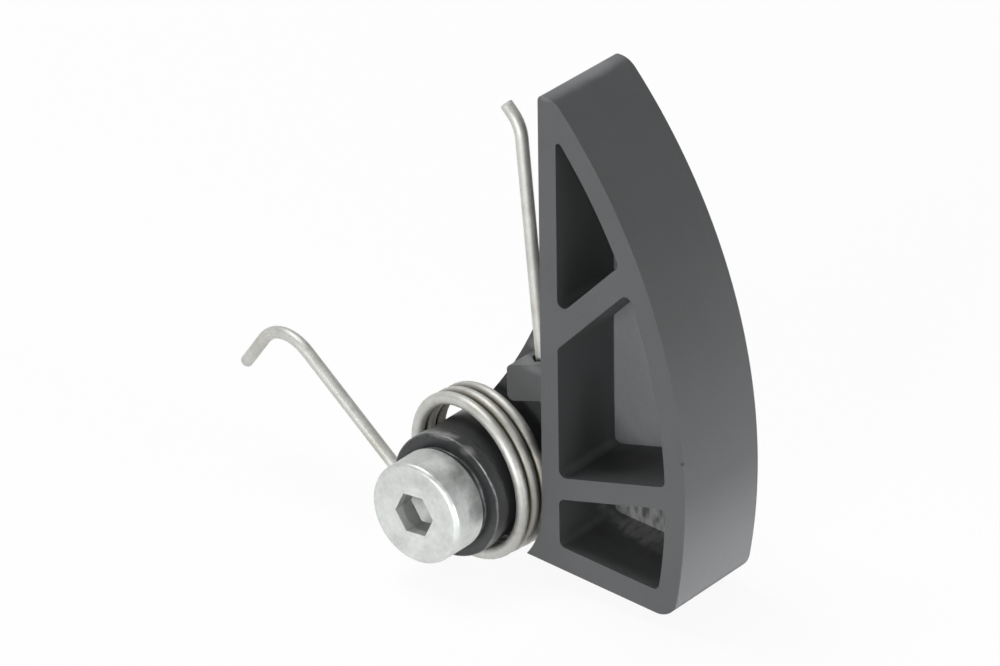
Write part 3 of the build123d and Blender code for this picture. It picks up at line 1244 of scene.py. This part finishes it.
def between_turns(tree):
    """The sides of the coil's turns that face each other, darkened by painted shade."""
    per_cm = 10
    turn_length = 2 * math.pi * COIL_RADIUS / per_cm
    front_part = FRONT_TIP + math.radians(FRONT_HOOK) * FRONT_BEND + FRONT_LEG
    coil_start = front_part / per_cm
    coil_end = coil_start + turn_length * (WHOLE_TURNS + (REAR_ANGLE - FRONT_ANGLE) / 360)
    around, along, _ = split(tree, add(tree, "UVMap", uv_map="wire").outputs[0])
    side = calc(tree, "COSINE", calc(tree, "MULTIPLY", around, 2 * math.pi))
    dirty = []
    for sign, start, end in (
        (1, coil_start, coil_end - turn_length),
        (-1, coil_start + turn_length, coil_end),
    ):
        facing = stretch(tree, side, 0.35 * sign, 0.95 * sign)
        begun = stretch(tree, along, start - 0.2, start + 0.3)
        unended = stretch(tree, along, end + 0.2, end - 0.3)
        dirty.append(calc(tree, "MULTIPLY", facing, calc(tree, "MULTIPLY", begun, unended)))
    return calc(tree, "MAXIMUM", *dirty)


def make_wire_material():
    """Satin spring steel with drawing lines along the wire and tarnish, with painted shade
    between the turns, on the coil's right side and on the rear leg below the lug.
    """
    material, tree, shader = new_material("spring_steel", WIRE_COLOUR, Metallic=0.7)
    lines = use(tree, DRAWING, Colour=WIRE_COLOUR)
    grain = use(
        tree, GRAIN, Colour=lines["Colour"], Roughness=0.54, Fine_Scale=1800.0,
        Cloud_Scale=260.0, Colour_Change=0.1, Roughness_Change=0.07,
    )
    clouds = noise(tree, object_place(tree), scale=170.0, detail=5.0, roughness=0.65)
    tarnish = stretch(tree, clouds, 0.48, 0.72, 0.0, 0.75)
    tone = mix(tree, tarnish, grain["Colour"], TARNISH_COLOUR)
    # Painted shade on the coil's right side
    tone = marked(tree, tone, dull_coil=0.68)
    # Painted shade between the turns
    tone = mix(tree, between_turns(tree), tone, DIRT_COLOUR)
    # Painted shade on the rear leg below the lug
    tone = marked(tree, tone, grimy_leg=0.12)
    wear = rub_edges(tree, tone, grain, RUBBED_WIRE, rubbed_roughness=0.38)
    tone, rough = wear["Colour"], wear["Roughness"]
    finish_shader(tree, shader, tone, rough, lines["Height"], depth=0.015, strength=0.35)
    return material


def finish_piece(piece, material, node):
    """Gives a piece its finish and hides the part that it stands for."""
    for face in piece.data.polygons:
        face.material_index = 0
    piece.data.materials.clear()
    piece.data.materials.append(material)
    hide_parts(node)
    return piece


shoe = finish_piece(make_shoe(), make_moulding_material(), "tensioner_shoe")
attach(shoe, "shoe")
collar = finish_piece(make_collar(), make_collar_material(), "pivot_collar")
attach(collar, "pivot")
bolt = finish_piece(make_bolt(), make_bolt_material(), "pivot_bolt")
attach(bolt, "pivot")
spring = finish_piece(make_spring(), make_wire_material(), "torsion_spring")
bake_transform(spring)


# Floor, camera and light

FLOOR_SIZE = 8.0
FLOOR_GAP = 0.1
FLOOR_GLOW = 0.92
AMBIENT = 0.25
CEILING_FROM, CEILING_FULL = 0.1, 0.7
CEILING_LEVEL = 0.3
AIM = (0.005, -0.01, 0.02)
CHAIN_FOOT = (0.032, -0.002, -0.017)
CAMERA_PLACE = (0.4305086, -0.5500984, 0.3741995)
CAMERA_TURN = (62.72100981, 0.78004294, 38.06366359)
LENS = 234.0
FILM = 36.0


def make_floor():
    """A pale floor that goes white in the camera's eye but keeps the object's shadow."""
    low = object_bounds()[0].z
    bpy.ops.object.select_all(action="DESELECT")
    bpy.ops.mesh.primitive_plane_add(size=FLOOR_SIZE, location=(0, 0, low - FLOOR_GAP * MM))
    floor = bpy.context.object
    floor.name = "floor"
    material, tree, shader = new_material(
        "pale_floor", grey(0.8), Base_Color=grey(0.9), Roughness=0.9, Specular_IOR_Level=0.0
    )
    glow = add(tree, "Emission", grey(1.0), 1.0)
    seen = add(tree, "LightPath").outputs
    shown = calc(tree, "MAXIMUM", seen["Is Camera Ray"], seen["Is Glossy Ray"])
    share = calc(tree, "MULTIPLY", shown, FLOOR_GLOW)
    both = add(tree, "MixShader", share, shader.outputs[0], glow.outputs[0])
    feed(tree, both.outputs[0], tree.nodes["Material Output"].inputs["Surface"])
    floor.data.materials.append(material)


def make_light(kind, name, place, aim, watts, **settings):
    """A light that points from its place at another, with settings for its kind."""
    bpy.ops.object.light_add(type=kind, location=place)
    light = bpy.context.object
    light.name = name
    light.data.energy = watts
    for key, value in settings.items():
        setattr(light.data, key, value)
    light.rotation_euler = (Vector(aim) - Vector(place)).to_track_quat("-Z", "Y").to_euler()


def make_world():
    """White where it is seen, mirrored with a greyer ceiling, and a weak even light elsewhere."""
    world = bpy.data.worlds.new("studio")
    world.use_nodes = True
    bpy.context.scene.world = world
    tree = world.node_tree
    up = split(tree, add(tree, "TexCoord").outputs["Generated"])[2]
    ceiling = stretch(tree, up, CEILING_FROM, CEILING_FULL, 1.0, CEILING_LEVEL)
    shown = tree.nodes["Background"]
    shown.inputs["Color"].default_value = grey(1.0)
    light = add(tree, "Background", grey(1.0), AMBIENT)
    rays = add(tree, "LightPath").outputs
    feed(tree, calc(tree, "MAXIMUM", rays["Is Camera Ray"], ceiling), shown.inputs["Strength"])
    seen = calc(tree, "MAXIMUM", rays["Is Camera Ray"], rays["Is Glossy Ray"])
    seen = calc(tree, "MAXIMUM", seen, rays["Is Transmission Ray"])
    both = add(tree, "MixShader", seen, light.outputs[0], shown.outputs[0])
    feed(tree, both.outputs[0], tree.nodes["World Output"].inputs["Surface"])


def make_camera():
    """The view from the front right and above."""
    bpy.ops.object.camera_add(location=CAMERA_PLACE)
    camera = bpy.context.object
    camera.rotation_euler = [math.radians(angle) for angle in CAMERA_TURN]
    camera.data.lens = LENS
    camera.data.sensor_width = FILM
    bpy.context.scene.camera = camera


make_floor()
for name, place, size, watts in (
    ("front_light", (0.2, -1.0, 0.15), 0.3, 7.0),
    ("top_light", (-0.35, 0.0, 1.0), 0.5, 7.0),
    ("side_light", (1.0, -0.05, 0.45), 0.5, 0.8),
):
    make_light("AREA", name, place, AIM, watts, shape="SQUARE", size=size)
make_light(
    "SPOT",
    "low_light",
    (0.5, 0.03, 0.02),
    CHAIN_FOOT,
    26.0,
    spot_size=math.radians(7.0),
    spot_blend=1.0,
    shadow_soft_size=0.04,
)
make_world()
make_camera()
bpy.context.scene.view_settings.view_transform = "Standard"
